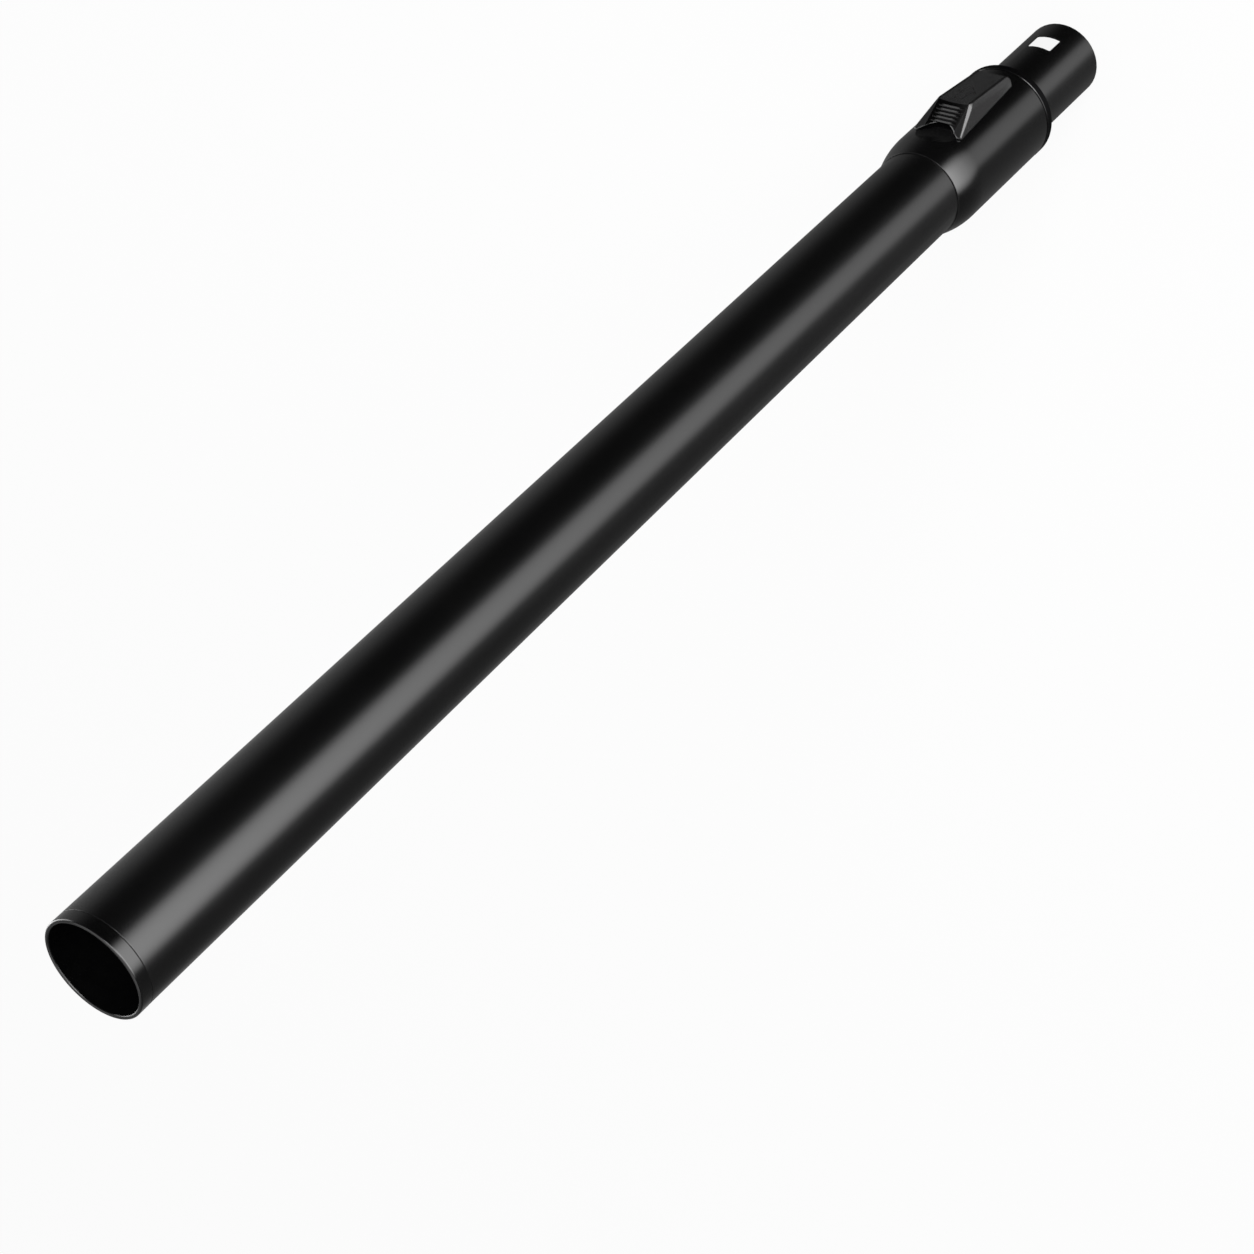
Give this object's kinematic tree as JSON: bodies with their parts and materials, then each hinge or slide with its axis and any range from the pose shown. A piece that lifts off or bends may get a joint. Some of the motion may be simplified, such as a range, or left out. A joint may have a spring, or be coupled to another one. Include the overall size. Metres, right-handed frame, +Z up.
{
  "type": "telescopic vacuum wand",
  "caption": "Black telescopic suction wand: a steel tube sliding in a wider steel tube, with a moulded collar, a spring-returned slide button and an open socket end.",
  "frame": {"origin": "centre of the inner tube's free end face, on the wand's axis", "axes": "+Z up along the wand from the inner tube's free end to the open socket end; -Y is the side of the release button and of the latch window; +X to the right when the button faces the viewer"},
  "size_m": [0.0446, 0.0505, 0.646],
  "materials": {
    "tube_paint": "satin black paint on steel tube",
    "lip_plastic": "satin moulded",
    "collar_plastic": "fine spark texture, satin",
    "ring_plastic": "smooth satin",
    "button_plastic": "smooth satin",
    "bush_plastic": "plain moulded, self-lubricating",
    "felt": "dense felt",
    "bare_steel": "plain bright steel"
  },
  "bodies": {
    "inner_wand": {"inner_tube": "tube_paint", "rear_bush": "bush_plastic", "rear_seal": "felt", "stop_ring": "bush_plastic"},
    "outer_wand": {"outer_tube": "tube_paint", "socket_bush": "lip_plastic", "collar_housing": "collar_plastic", "end_ring": "ring_plastic", "guide_sleeve": "bush_plastic", "dust_wiper": "felt", "button_spring": "bare_steel"},
    "button": {"slide_button": "button_plastic"},
    "roller": {"lock_roller": "bare_steel"}
  },
  "joints": [
    {"name": "telescope", "type": "slide", "parent": "inner_wand", "child": "outer_wand", "axis": [0, 0, 1], "range_m": [0, 0.408]},
    {"name": "button_slide", "type": "slide", "parent": "outer_wand", "child": "button", "axis": [0, 0, -1], "range_m": [0, 0.005], "stiffness_N_per_m": 900, "springref_m": -0.004, "deforming": ["button_spring"]},
    {"name": "roller_lift", "type": "slide", "parent": "outer_wand", "child": "roller", "axis": [0, -1, 0], "range_m": [0, 0.0015]}
  ],
  "couplings": [
    {"joint": "roller_lift", "follows": "button_slide", "ratio": 0.3}
  ]
}
